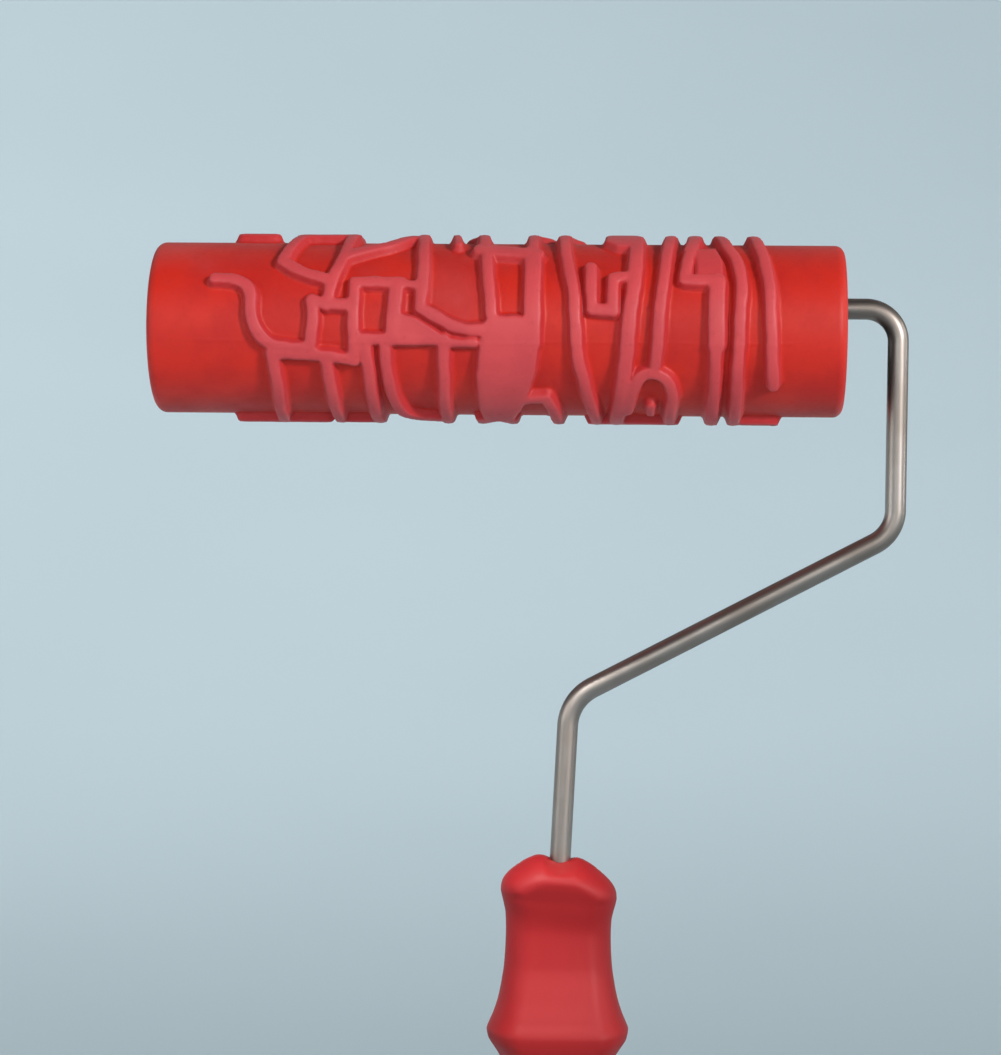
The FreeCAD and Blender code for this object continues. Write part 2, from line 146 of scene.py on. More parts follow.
class Recipe:
    """One material's node tree, in the piece's own coordinates."""

    def __init__(self, name, **constants):
        self.material = bpy.data.materials.new(name)
        self.material.use_nodes = True
        self.tree = self.material.node_tree
        self.shader = self.tree.nodes["Principled BSDF"]
        for socket, value in constants.items():
            self.shader.inputs[socket.replace("_", " ")].default_value = value
        self.place = self.tree.nodes.new("ShaderNodeTexCoord").outputs["Object"]

    def put(self, node, socket, value):
        if isinstance(value, bpy.types.NodeSocket):
            self.tree.links.new(value, node.inputs[socket])
        else:
            node.inputs[socket].default_value = value

    def noise(self, size, detail=2.0, vector=None, stretch=None):
        """Noise with features of about this many millimetres, stretched by (x, y, z)."""
        vector = vector or self.place
        if stretch:
            mapping = self.tree.nodes.new("ShaderNodeMapping")
            self.put(mapping, "Vector", vector)
            mapping.inputs["Scale"].default_value = stretch
            vector = mapping.outputs["Vector"]
        node = self.tree.nodes.new("ShaderNodeTexNoise")
        self.put(node, "Vector", vector)
        node.inputs["Scale"].default_value = 1 / (size * MM)
        node.inputs["Detail"].default_value = detail
        return node.outputs["Fac"]

    def attribute(self, name, output="Fac"):
        node = self.tree.nodes.new("ShaderNodeAttribute")
        node.attribute_name = name
        return node.outputs[output]

    def spread(self, value, low, high, start=0.0, end=1.0):
        """The value from low to high, as start to end."""
        node = self.tree.nodes.new("ShaderNodeMapRange")
        node.interpolation_type = "SMOOTHSTEP"
        for socket, number in (("Value", value), ("From Min", low), ("From Max", high),
                               ("To Min", start), ("To Max", end)):
            self.put(node, socket, number)
        return node.outputs["Result"]

    def plus(self, a, b):
        node = self.tree.nodes.new("ShaderNodeMath")
        node.operation = "ADD"
        self.put(node, 0, a)
        self.put(node, 1, b)
        return node.outputs["Value"]

    def mix(self, factor, a, b):
        """Colour a where the factor is 0 and b where it is 1."""
        node = self.tree.nodes.new("ShaderNodeMix")
        node.data_type = "RGBA"
        for socket, value in ((0, factor), (6, a), (7, b)):
            self.put(node, socket, value)
        return node.outputs[2]

    def bump(self, height, depth, under=None):
        """A bump this many millimetres deep, on top of another if given."""
        node = self.tree.nodes.new("ShaderNodeBump")
        node.inputs["Distance"].default_value = depth * MM
        self.put(node, "Height", height)
        if under:
            self.put(node, "Normal", under)
        return node.outputs["Normal"]

    def done(self, colour, roughness, normal):
        self.put(self.shader, "Base Color", colour)
        self.put(self.shader, "Roughness", roughness)
        self.put(self.shader, "Normal", normal)
        return self.material


def rubber():
    """Red moulded rubber: saturated in the pockets, a painted shade on the ribs' sides, and rib tops duller
    and paler, partly worn and dusty and partly a painted sheen.
    """
    r = Recipe("red_rubber_moulded", Specular_IOR_Level=0.33, Sheen_Weight=0.08, Sheen_Roughness=0.45)
    relief = r.attribute("relief")
    cloud, speckle, grain = r.noise(16, 3), r.noise(1.6, 4), r.noise(0.22, 2)
    pocket = r.mix(r.spread(cloud, 0.35, 0.65), (0.60, 0.018, 0.008, 1), (0.51, 0.013, 0.008, 1))
    # painted shade: the ribs' sloping sides get their own darker red, standing in for the shade that falls
    # on them
    side = (0.52, 0.024, 0.026, 1)
    # the rib tops' paler, pinker red is partly worn and dusty rubber and partly a painted sheen
    top = r.mix(r.spread(cloud, 0.35, 0.65), (0.62, 0.062, 0.068, 1), (0.55, 0.052, 0.060, 1))
    body = r.mix(r.spread(relief, 0.03, 0.25), pocket, side)
    body = r.mix(r.spread(relief, 0.70, 0.97), body, top)
    dust = r.spread(r.noise(34, 4), 0.52, 0.72, 0.0, 0.22)
    body = r.mix(dust, body, (0.52, 0.10, 0.10, 1))
    body = r.mix(r.spread(speckle, 0.55, 0.80, 0.0, 0.16), body, (0.26, 0.008, 0.010, 1))
    roughness = r.plus(r.spread(cloud, 0.3, 0.7, 0.46, 0.56), r.spread(speckle, 0.4, 0.7, 0.0, 0.07))
    normal = r.bump(grain, 0.016, r.bump(speckle, 0.05))
    return r.done(body, roughness, normal)


def bright_wire():
    """Drawn nickel-plated wire with fine lengthwise marks and a faint warm tarnish."""
    r = Recipe("nickel_wire_drawn", Metallic=1.0)
    way = r.attribute("wire_way", "Vector")
    marks = r.noise(0.22, 3, way, (0.02, 1, 1))
    stain = r.noise(9, 3, way, (0.35, 1, 1))
    colour = r.mix(r.spread(stain, 0.38, 0.66), (0.36, 0.315, 0.285, 1), (0.28, 0.235, 0.205, 1))
    colour = r.mix(r.spread(marks, 0.55, 0.85, 0.0, 0.35), colour, (0.28, 0.23, 0.19, 1))
    roughness = r.plus(r.spread(marks, 0.3, 0.7, 0.33, 0.42), r.spread(stain, 0.4, 0.7, 0.0, 0.08))
    return r.done(colour, roughness, r.bump(marks, 0.010))


def handle_plastic():
    """Half-gloss red moulded plastic with faint flow marks and fine handling scratches."""
    r = Recipe("handle_plastic_moulded", Specular_IOR_Level=0.28)
    flow = r.noise(22, 3, stretch=(1, 1, 0.35))
    fine, scratch = r.noise(0.5, 3), r.noise(0.35, 2, stretch=(1, 1, 0.03))
    colour = r.mix(r.spread(flow, 0.35, 0.65), (0.30, 0.008, 0.009, 1), (0.265, 0.006, 0.008, 1))
    colour = r.mix(r.spread(r.noise(3, 4), 0.60, 0.85, 0.0, 0.18), colour, (0.24, 0.009, 0.011, 1))
    roughness = r.plus(r.spread(flow, 0.3, 0.7, 0.50, 0.60), r.spread(scratch, 0.62, 0.75, 0.0, 0.10))
    return r.done(colour, roughness, r.bump(fine, 0.010, r.bump(flow, 0.12)))


def plated_steel():
    """Zinc-plated pressed steel: cool, spangled and softly scuffed."""
    r = Recipe("zinc_steel_plated", Metallic=1.0)
    spangle, scuff = r.noise(1.4, 2), r.noise(0.12, 3, stretch=(1, 0.25, 1))
    colour = r.mix(r.spread(spangle, 0.35, 0.65), (0.57, 0.58, 0.59, 1), (0.50, 0.51, 0.53, 1))
    roughness = r.plus(r.spread(spangle, 0.3, 0.7, 0.33, 0.41), r.spread(scuff, 0.4, 0.7, 0.0, 0.10))
    return r.done(colour, roughness, r.bump(scuff, 0.008))


def grained_plastic(name, light, dark, gloss):
    """Matt moulded plastic with a spark-eroded grain."""
    r = Recipe(name, Specular_IOR_Level=0.4)
    grain, cloud = r.noise(0.35, 3), r.noise(7, 3)
    colour = r.mix(r.spread(cloud, 0.35, 0.65), light, dark)
    uneven = r.spread(cloud, 0.3, 0.7, gloss, gloss + 0.1)
    roughness = r.plus(uneven, r.spread(grain, 0.4, 0.6, 0.0, 0.08))
    return r.done(colour, roughness, r.bump(grain, 0.03))


RED_RUBBER = rubber()
WIRE_FINISH = bright_wire()
HANDLE_FINISH = handle_plastic()
STEEL = plated_steel()
CAP_FINISH = grained_plastic(
    "cap_plastic_grained", (0.028, 0.028, 0.031, 1), (0.018, 0.018, 0.020, 1), 0.48)
INSERT_FINISH = grained_plastic(
    "insert_plastic_grained", (0.034, 0.034, 0.037, 1), (0.022, 0.022, 0.025, 1), 0.5)
CORE_FINISH = grained_plastic(
    "core_plastic_matt", (0.60, 0.59, 0.54, 1), (0.52, 0.51, 0.46, 1), 0.5)


# ---------------------------------------------------------------- rubber sleeve

# The relief. Each rib is (width, centre line), and a point is (mm along the roller from its middle,
# degrees round it from the front, upwards). 90 is the top, -90 the bottom and 180 the back.
FINE, PLAIN, MEDIUM, BROAD = 2.8, 3.6, 4.3, 5.0
RIBS = [
    # left third, front
    (PLAIN, [(-72, 28), (-67, 28), (-62.7, 22), (-62.4, 2), (-60.7, -7), (-57, -15), (-48, -16)]),
    (PLAIN, [(-57, -19), (-46, -20), (-36, -23)]),
    (PLAIN, [(-57, -19), (-56, -40), (-56, -95), (-57, -130), (-61, -142), (-61, -172)]),
    (PLAIN, [(-43, -24), (-42, -50), (-41, -92), (-41, -125), (-47, -133), (-47, -160), (-40, -168)]),
    (PLAIN, [(-67, -88), (-45, -88)]),
    (FINE, [(-39, -87), (-31, -87)]),
    (BROAD, [(-66.5, 86), (-59.5, 86)]),
    (PLAIN, [(-66, 86), (-66, 120), (-62, 128), (-62, 165)]),
    (PLAIN, [(-42, 27), (-50, 33), (-55, 42), (-51, 78), (-38, 80), (-39, 47), (-42, 27)]),
    (PLAIN, [(-39, 47), (-34, 54), (-28, 59), (-22, 75)]),
    (PLAIN, [(-42, 27), (-43, 11), (-37, 11)]),
    (PLAIN, [(-43, 11), (-46.8, 14), (-46.3, 4), (-47.3, -16)]),
    (PLAIN, [(-24, 26), (-36, 26), (-36, -23)]),
    (FINE, [(-25, 25), (-19, 24)]),
    # middle, front
    (MEDIUM, [(-25, 25), (-26.2, -9)]),
    (PLAIN, [(-34, -10), (-13, -10), (-13, -92), (-14, -140), (-18, -146), (-18, -180)]),
    (PLAIN, [(-33, -12), (-32, -40), (-31, -92), (-31, -120), (-34, -127), (-34, -178)]),
    (PLAIN, [(-28, -15), (-27.5, -34), (-26.2, -52), (-24.5, -68), (-21, -76), (-15, -79)]),
    (PLAIN, [(-25, 165), (-25, 118), (-20, 110), (-19.5, 77),
             (-18.4, 40), (-19, 9), (-15, 4), (-9, -4), (-3, -4)]),
    (FINE, [(-12, -12), (-5, -12)]),
    (FINE, [(-10, 62), (-11, 84), (-12, 112)]),
    (PLAIN, [(-3, 195), (-3, 156), (-8, 150), (-8, 106), (-4, 96), (-3.7, 74), (-2.3, 40), (-0.7, 6)]),
    (BROAD, [(-4, 55), (10, 50)]),
    (PLAIN, [(14, 135), (14, 103), (9.3, 95), (9.3, 50)]),
    (BROAD, [(9.3, 50), (9.8, 4), (9.5, -12)]),
    (PLAIN, [(7, -52), (13, -51), (15, -62), (16, -84), (16, -115), (11, -122), (11, -150)]),
    (PLAIN, [(-4, -80), (-4, -100), (0, -108), (4, -100), (4, -80)]),
    # right third, front
    (PLAIN, [(17, 76), (18.2, 42), (20, 25), (20.6, 8), (21, -19), (22.8, -36), (26, -75), (26, -105)]),
    (PLAIN, [(17, 76), (18, 100), (22, 108), (22, 170), (19, 178), (19, 210), (26, 222), (26, 255)]),
    (PLAIN, [(24.3, 38), (24.8, 9), (30.2, 8), (30.2, 30), (33, 31)]),
    (MEDIUM, [(36.3, 76), (35.8, 37), (33.9, -12), (32.4, -50), (31.4, -72), (31, -92)]),
    (PLAIN, [(45, 85), (43.4, 38), (42.2, 11), (41.1, -25)]),
    (PLAIN, [(34, -64), (35, -44), (37, -33), (40, -30), (44, -34), (46, -46), (45, -61), (45, -88)]),
    (FINE, [(40, -58), (40, -66)]),
    (PLAIN, [(25, -87), (46, -87)]),
    (MEDIUM, [(51, 98), (51.4, 80), (50, 55)]),
    (PLAIN, [(50, 55), (48.3, 29), (56, 28)]),
    (BROAD, [(56.6, 28), (56.6, -12)]),
    (PLAIN, [(56.4, -12), (55.8, -92)]),
    (PLAIN, [(56, -92), (55, -128), (51, -134), (51, -165)]),
    (PLAIN, [(57, 100), (57.5, 82), (59.5, 58), (62, 44), (63, 28), (62.4, 0), (62, -40), (61.6, -92)]),
    (PLAIN, [(61.6, -92), (62, -120), (66, -128), (66, -170), (62, -176)]),
    (PLAIN, [(71.2, -39), (70.5, -6), (69.9, 26), (68, 54), (66.2, 83), (66, 120), (70, 126), (70, 168)]),
    (PLAIN, [(64, -86), (72, -86), (72, -110)]),
    # back
    (PLAIN, [(-54, 104), (-49, 150), (-45, 104)]),
    (PLAIN, [(-38, 80), (-37, 118), (-31, 124), (-31, 150)]),
    (FINE, [(-56, 196), (-50, 196), (-50, 176), (-40, 176)]),
    (PLAIN, [(28, 112), (38, 112), (38, 150), (28, 150), (28, 112)]),
    (FINE, [(28, 131), (38, 131)]),
    (PLAIN, [(31, -92), (32, -118), (38, -140), (47, -152)]),
    (PLAIN, [(45, -88), (44, -112), (38, -140)]),
    (PLAIN, [(45, 85), (46, 110), (42, 118), (42, 160), (47, 168), (47, 190)]),
    (PLAIN, [(52, 165), (56, 112), (60, 165)]),
    (FINE, [(54, 142), (58, 142)]),
    (FINE, [(2, 120), (2, 150), (8, 150), (8, 176)]),
    (PLAIN, [(3, -130), (5, -165), (12, -176)]),
]
# Raised flats between the ribs, as (share of the relief's height, outline)
FLATS = [
    (1.0, [(-1, 6), (9.8, 5), (11.6, -6), (11.3, -18), (10.7, -30), (9.4, -42), (8, -54), (5.6, -70),
           (4.6, -82), (-3.4, -82), (-4.6, -52), (-5, -32), (-4.4, -18), (-3.6, -8), (-3, 0)]),
    (0.92, [(-25, 7), (-20, 4), (-14, -5), (-12, -10), (-25, -10)]),
    (1.0, [(28, 95), (27.5, 66), (31, 58), (37.5, 57), (37.5, 95)]),
    (0.85, [(51, 56), (56.5, 58), (58.4, 44), (58.8, 28), (51, 28)]),
]
RELIEF_HEIGHT = 2.4
BASE_RADIUS = OUTER_RADIUS - RELIEF_HEIGHT
MIDDLE_RADIUS = OUTER_RADIUS - RELIEF_HEIGHT / 2    # ribs are as wide as stated at half their height
ROUND_TRIP = TAU * MIDDLE_RADIUS
SIDE_IN, SIDE_OUT = 0.6, 0.6        # a rib's side slopes from this far inside its edge to this far outside
RIB_CROWNING, CROWN_REACH = 0.14, 2.0       # a rib's middle above its edges, from this far in
MELT = 0.5                          # fillet where two ribs meet
PARTING_ANGLE = -12.0               # mould seam, with its twin on the far side
PARTING_HEIGHT = 0.10
RELIEF_END = 76.0                   # no relief beyond this
ROWS_AROUND = 300
FINE_COLUMNS = 286
EDGE_ROUNDING = 2.5
BORE_CHAMFER = 0.25
SHARPEST_BEND = 60.0                # gentler bends of a rib's centre line are drawn as curves
BEND_CUTS = (2.4, 1.0)              # how far from a bend each round of corner cutting starts
LONGEST_CUT = 0.3                   # and the largest share of a stretch that it takes
FAR_AWAY = 99.0


def softened(line):
    """The centre line with its gentle bends cut to short chords."""
    points = [np.array((x, math.radians(a) * MIDDLE_RADIUS)) for x, a in line]
    for cut in BEND_CUTS:
        made = [points[0]]
        for before, here, after in zip(points, points[1:], points[2:]):
            back, on = before - here, after - here
            lengths = np.linalg.norm(back), np.linalg.norm(on)
            bend = 180 - math.degrees(math.acos(np.clip(back @ on / (lengths[0] * lengths[1]), -1, 1)))
            if bend > SHARPEST_BEND:
                made.append(here)
            else:
                reach = min(cut, LONGEST_CUT * min(lengths))
                made += [here + back / lengths[0] * reach, here + on / lengths[1] * reach]
        points = made + [points[-1]]
    return points


def from_stretch(x, s, start, end):
    """Distance from the straight stretch between two points, the short way round the roller."""
    middle = (start[1] + end[1]) / 2
    turned_s = (s - middle + ROUND_TRIP / 2) % ROUND_TRIP - ROUND_TRIP / 2
    along = end - start
    px, ps = x - start[0], turned_s + middle - start[1]
    t = np.clip((px * along[0] + ps * along[1]) / (along @ along), 0, 1)
    return np.hypot(px - t * along[0], ps - t * along[1])


def inside_outline(x, s, corners):
    """Which points lie inside an outline, on the front half of the roller."""
    inside = np.zeros(x.shape, bool)
    for (x0, s0), (x1, s1) in zip(corners, corners[1:] + corners[:1]):
        if s0 != s1:
            crosses = (s0 > s) != (s1 > s)
            inside ^= crosses & (x < (x1 - x0) * (s - s0) / (s1 - s0) + x0)
    return inside


def melted(a, b):
    """The nearer of two distances, with a fillet where they are alike."""
    h = np.clip(0.5 + 0.5 * (b - a) / MELT, 0, 1)
    return b + (a - b) * h - MELT * h * (1 - h)


def waver(x, s):
    """Slight hand-cut unevenness of the ribs' edges, which closes on itself round the roller."""
    turn = s / MIDDLE_RADIUS
    return (0.07 * np.sin(0.55 * x + 5 * turn) + 0.06 * np.sin(0.9 * x - 11 * turn + 1.3)
            + 0.04 * np.sin(1.7 * x + 23 * turn + 0.4))


def flat_field(x, s, outline):
    """Signed distance from a flat's edge, negative inside it."""
    corners = [(px, math.radians(a) * MIDDLE_RADIUS) for px, a in outline]
    front_s = (s + ROUND_TRIP / 2) % ROUND_TRIP - ROUND_TRIP / 2
    edge = np.full(x.shape, FAR_AWAY)
    for start, end in zip(corners, corners[1:] + corners[:1]):
        edge = np.minimum(edge, from_stretch(x, s, np.array(start), np.array(end)))
    return np.where(inside_outline(x, front_s, corners), -edge, edge)


def side_rise(distance):
    """Share of the height at a signed distance from an edge: a slope with a soft foot and shoulder."""
    return smoothstep(-distance, -SIDE_OUT, SIDE_IN)


def relief_height(x, s):
    """Height of the relief above the plain rubber."""
    edge = np.full(x.shape, FAR_AWAY)
    for width, line in RIBS:
        points = softened(line)
        one = np.full(x.shape, FAR_AWAY)
        for start, end in zip(points, points[1:]):
            one = np.minimum(one, from_stretch(x, s, start, end))
        edge = melted(edge, one - width / 2)
    lower = np.zeros(x.shape)
    for share, outline in FLATS:
        field = flat_field(x, s, outline)
        if share == 1:
            edge = melted(edge, field)
        else:
            lower = np.maximum(lower, share * side_rise(field))
    edge += waver(x, s)
    crown = RIB_CROWNING * smoothstep(-edge, SIDE_IN, CROWN_REACH)
    return np.maximum(side_rise(edge) * (RELIEF_HEIGHT - RIB_CROWNING) + crown, lower * RELIEF_HEIGHT)


def rubber_sleeve():
    """The whole sleeve as rings of vertices: end face, rounded edge, relief, edge, face and bore."""
    angles = np.radians(PARTING_ANGLE + 360 / ROWS_AROUND * np.arange(ROWS_AROUND))
    fine_x = np.linspace(-RELIEF_END, RELIEF_END, FINE_COLUMNS)
    x, s = np.meshgrid(fine_x, angles * MIDDLE_RADIUS, indexing="ij")
    seam = np.arange(ROWS_AROUND) % (ROWS_AROUND // 2) == 0
    height = relief_height(x, s) + np.where(seam, PARTING_HEIGHT, 0)
    bore_end = HALF_LENGTH - BORE_CHAMFER

    def plain_rings(side):
        """(x, radius) from the relief's end outwards, round the edge and in to the bore."""
        straight = HALF_LENGTH - EDGE_ROUNDING
        rings = [(px, BASE_RADIUS) for px in np.linspace(RELIEF_END, straight, 5)[1:]]
        for turn in np.radians(np.linspace(0, 90, 8))[1:]:
            rings.append((straight + EDGE_ROUNDING * math.sin(turn),
                          BASE_RADIUS - EDGE_ROUNDING * (1 - math.cos(turn))))
        rings += [(HALF_LENGTH, CORE_RADIUS + BORE_CHAMFER), (bore_end, CORE_RADIUS)]
        return [(side * px, r) for px, r in rings]

    right, left = plain_rings(1), plain_rings(-1)
    bore = [(px, CORE_RADIUS) for px in np.linspace(bore_end, -bore_end, 4)[1:-1]]
    radius = BASE_RADIUS + height
    turn = s / MIDDLE_RADIUS
    rows = [np.stack([x, -radius * np.cos(turn), radius * np.sin(turn)], -1)]
    for px, r in right + bore + left[::-1]:
        rows.append(np.stack([np.full(ROWS_AROUND, px), -r * np.cos(angles), r * np.sin(angles)], -1)[None])
    vertices = np.concatenate(rows).reshape(-1, 3)

    relief = np.zeros(len(vertices))
    relief[:height.size] = height.ravel() / RELIEF_HEIGHT
    faces = []
    for quad in ring_faces(len(vertices) // ROWS_AROUND, ROWS_AROUND, True):
        if max(quad) < height.size:
            a, b, c, d = quad
            if abs(relief[a] - relief[c]) <= abs(relief[b] - relief[d]):
                faces += [(a, b, c), (a, c, d)]
            else:
                faces += [(a, b, d), (b, c, d)]
        else:
            faces.append(quad)
    made = piece("rubber_relief", placed(vertices), faces, "roller",
                 ["rubber_sleeve"], RED_RUBBER)
    layer = made.data.attributes.new("relief", "FLOAT", "POINT")
    layer.data.foreach_set("value", relief.astype(np.float32))


# ---------------------------------------------------------------- wire frame

WIRE_CORNERS = [(104.5, AXLE_RISE), (104.1, -52.5), (19.4, -97.0), (HANDLE_X, -145.0)]
WIRE_BEND_RADII = [8.5, 10.0, 12.0, 40.0]
WIRE_START_X = (WIRE_LOW.x - ROLLER.x) / MM
TANG_END = (WIRE_LOW.z - ROLLER.z) / MM
WIRE_SIDES = 40
END_CHAMFER = 0.5
ARC_STEP, LONGEST_RUN = 5.0, 3.0    # degrees round a bend and mm along a run, between rings
PINCH_TOP, PINCH_END = -186.0, -195.0
PINCH_WIDTH, PINCH_THICKNESS = 9.0, 2.6
PINCH_EASE = 3.0                    # the wire flattens and rounds again over this length


def wire_path():
    """Points of the wire's middle in the XZ plane: straight runs joined by arcs."""
    corners = [(WIRE_START_X, AXLE_RISE)] + WIRE_CORNERS + [(HANDLE_X, TANG_END)]
    corners = [np.array(c, float) for c in corners]
    path = [corners[0]]
    for before, corner, after, radius in zip(corners, corners[1:], corners[2:], WIRE_BEND_RADII):
        back = (before - corner) / np.linalg.norm(before - corner)
        on = (after - corner) / np.linalg.norm(after - corner)
        half_turn = (math.pi - math.acos(back @ on)) / 2
        centre = corner + (back + on) / np.linalg.norm(back + on) * radius / math.cos(half_turn)
        start = corner + back * radius * math.tan(half_turn) - centre
        side = corner + on * radius * math.tan(half_turn) - centre
        steps = max(3, math.ceil(math.degrees(2 * half_turn) / ARC_STEP))
        for t in np.linspace(0, 1, steps + 1):
            share = math.sin((1 - t) * 2 * half_turn), math.sin(t * 2 * half_turn)
            path.append(centre + (start * share[0] + side * share[1]) / math.sin(2 * half_turn))
    path.append(corners[-1])
    return path


def spaced(path, longest):
    """The same path with its long runs cut into steps."""
    made = [path[0]]
    for start, end in zip(path, path[1:]):
        count = max(1, math.ceil(np.linalg.norm(end - start) / longest))
        made += [start + (end - start) * k / count for k in range(1, count + 1)]
    return made


def wire_frame():
    """The bent wire, chamfered at both ends and pinched flat inside the handle."""
    path = spaced(wire_path(), LONGEST_RUN)
    lead_in = path[0] + np.array((END_CHAMFER, 0))
    lead_out = path[-1] + np.array((0, END_CHAMFER))
    path = [path[0], lead_in] + path[1:-1] + [lead_out, path[-1]]
    vertices, way, gone = [], [], 0.0
    for k, point in enumerate(path):
        ahead = path[min(k + 1, len(path) - 1)] - path[max(k - 1, 0)]
        ahead = ahead / np.linalg.norm(ahead)
        normal = np.array((-ahead[1], ahead[0]))
        gone += np.linalg.norm(point - path[k - 1]) if k else 0
        radius = WIRE_RADIUS - (END_CHAMFER if k in (0, len(path) - 1) else 0)
        flattening = smoothstep(-point[1], -PINCH_TOP - PINCH_EASE, -PINCH_TOP)
        pinch = float(flattening * smoothstep(point[1], PINCH_END - PINCH_EASE, PINCH_END))
        wide = radius + (PINCH_WIDTH / 2 - radius) * pinch
        thick = radius + (PINCH_THICKNESS / 2 - radius) * pinch
        for j in range(WIRE_SIDES):
            turn = TAU * j / WIRE_SIDES
            x, z = point + normal * wide * math.cos(turn)
            vertices.append((x, thick * math.sin(turn), z))
            way.append((gone * MM, radius * math.cos(turn) * MM, radius * math.sin(turn) * MM))
    rings = len(path)
    faces = ring_faces(rings, WIRE_SIDES, False)
    for ring, point, gone_here in ((0, path[0], 0.0), (rings - 1, path[-1], gone)):
        middle = len(vertices)
        vertices.append((point[0], 0.0, point[1]))
        way.append((gone_here * MM, 0.0, 0.0))
        first = ring * WIRE_SIDES
        faces += [(first + j, first + (j + 1) % WIRE_SIDES, middle) for j in range(WIRE_SIDES)]
    made = piece("bent_wire", placed(vertices), faces, "frame",
                 ["wire_frame"], WIRE_FINISH)
    layer = made.data.attributes.new("wire_way", "FLOAT_VECTOR", "POINT")
    layer.data.foreach_set("vector", np.array(way, np.float32).ravel())


# ---------------------------------------------------------------- handle

HANDLE_TOP = (HANDLE_HIGH.z - ROLLER.z) / MM
SILHOUETTE = [  # (height from the roller's axis, half width seen from the front)
    (HANDLE_TOP, 4.6), (-138.45, 6.0), (-139.65, 8.5), (-141.1, 10.6), (-142.6, 12.5), (-143.6, 13.5),
    (-144.6, 14.25), (-145.7, 14.8), (-146.9, 15.1), (-148.0, 15.15), (-149.3, 14.9), (-151.9, 14.25),
    (-154.0, 13.85), (-158.0, 13.7), (-162.0, 13.8), (-166.6, 14.1), (-171.0, 14.75), (-175.0, 15.55),
    (-179.2, 16.9), (-181.3, 17.8), (-183.4, 18.5), (-185.5, 18.1), (-187.6, 16.8), (-189.7, 15.45),
    (-193.5, 13.8), (-198.0, 13.4), (-212.0, 13.8), (-229.0, 14.7), (-247.0, 14.3), (-258.0, 13.4),
    (-260.6, 13.1), (-261.6, 12.7), (HANDLE_END, 12.2)]
DEPTH = [       # half depth in the middle of the front and back faces
    (HANDLE_TOP, 12.6), (-143.5, 12.5), (-150.0, 10.7), (-158.0, 8.9), (-166.0, 9.3), (-174.0, 11.6),
    (-180.0, 14.1), (-184.0, 15.7), (-187.0, 15.3), (-190.0, 14.3), (-193.5, 13.3), (-200.0, 12.6),
    (-212.0, 12.5), (-229.0, 13.3), (-247.0, 13.7), (-258.0, 13.3), (-260.6, 13.0), (-261.6, 12.7),
    (HANDLE_END, 12.2)]
EDGE_WIDTH = [  # how far in from the silhouette the faces round off
    (HANDLE_TOP, 6.6), (-150.0, 6.6), (-165.0, 6.6), (-176.0, 7.2), (-184.0, 8.4), (-190.0, 7.2),
    (-198.0, 8.5), (-229.0, 11.0), (-250.0, 13.4), (HANDLE_END, 12.2)]
FACE_CROWNING = 0.05        # the faces are this share shallower at the sides than in the middle
HANDLE_TWIST = math.radians(4)      # the handle sits a little turned on its wire
CROWN_TILT = 0.075          # the crown's right side is this much lower per millimetre
SADDLE_DEPTH, SADDLE_WIDTH = 1.4, 3.6       # the crown dips where the wire goes in
HUB_HEIGHT = -150.0         # the crown's rays start here on the axis
HANDLE_AROUND = 160
STEEPEST_RAY, CROWN_RINGS = 74.5, 46        # degrees up, where the wire's hole starts
STATIONS = [    # (from this height, to this one, rings between them)
    (HUB_HEIGHT, -178.0, 38), (-178.0, -198.0, 46), (-198.0, -257.0, 40), (-257.0, HANDLE_END, 12)]
LONGEST_RAY, HALVINGS = 25.0, 18            # for finding the surface from inside
SEAM_HEIGHT = 0.09                          # mould seam down both sides
SOCKET_RADIUS, SOCKET_DEPTH = 11.0, 34.0
FLANGE_RADIUS, FLANGE_DEPTH = 11.8, 1.6


def along(table, z):
    """A smooth curve through the table's points, read at heights z."""
    heights = np.array([row[0] for row in table])[::-1]
    values = np.array([row[1] for row in table])[::-1]
    secants = np.diff(values) / np.diff(heights)
    slopes = np.zeros(len(values))
    same_way = secants[:-1] * secants[1:] > 0
    slopes[1:-1][same_way] = 2 / (1 / secants[:-1][same_way] + 1 / secants[1:][same_way])
    slopes[0], slopes[-1] = secants[0], secants[-1]
    z = np.clip(z, heights[0], heights[-1])
    k = np.clip(np.searchsorted(heights, z) - 1, 0, len(secants) - 1)
    width = heights[k + 1] - heights[k]
    t = (z - heights[k]) / width
    return ((2 * t ** 3 - 3 * t ** 2 + 1) * values[k] + (t ** 3 - 2 * t ** 2 + t) * width * slopes[k]
            + (3 * t ** 2 - 2 * t ** 3) * values[k + 1] + (t ** 3 - t ** 2) * width * slopes[k + 1])


def half_width(z):
    """Half the handle's width in the front view."""
    return along(SILHOUETTE, z)


OUTLINE_Z = np.linspace(HANDLE_TOP, HUB_HEIGHT - 12, 120)
OUTLINE = np.concatenate([
    np.stack([np.linspace(0, 6.0, 12), np.full(12, HANDLE_TOP)], -1),
    np.stack([half_width(OUTLINE_Z), OUTLINE_Z], -1)])


def inside_by(x, z):
    """How far a point of the front view is inside the silhouette; negative outside."""
    x = np.abs(x)
    straight = half_width(z) - x
    near = np.hypot(x[..., None] - OUTLINE[:, 0], z[..., None] - OUTLINE[:, 1]).min(-1)
    crown = np.where((straight > 0) & (z < HANDLE_TOP), near, -near)
    return np.where(z > HUB_HEIGHT, crown, straight)


def in_handle(points):
    """Which points are inside the handle before it is tilted and turned."""
    x, y, z = points[..., 0], points[..., 1], points[..., 2]
    depth = along(DEPTH, z) * (1 - FACE_CROWNING * np.minimum(x / half_width(z), 1) ** 2)
    inside = inside_by(x, z)
    rounding = 1 - np.clip(inside / along(EDGE_WIDTH, z), 0, 1)
    return (np.abs(y) < depth * np.sqrt(1 - rounding ** 2)) & (inside > 0)


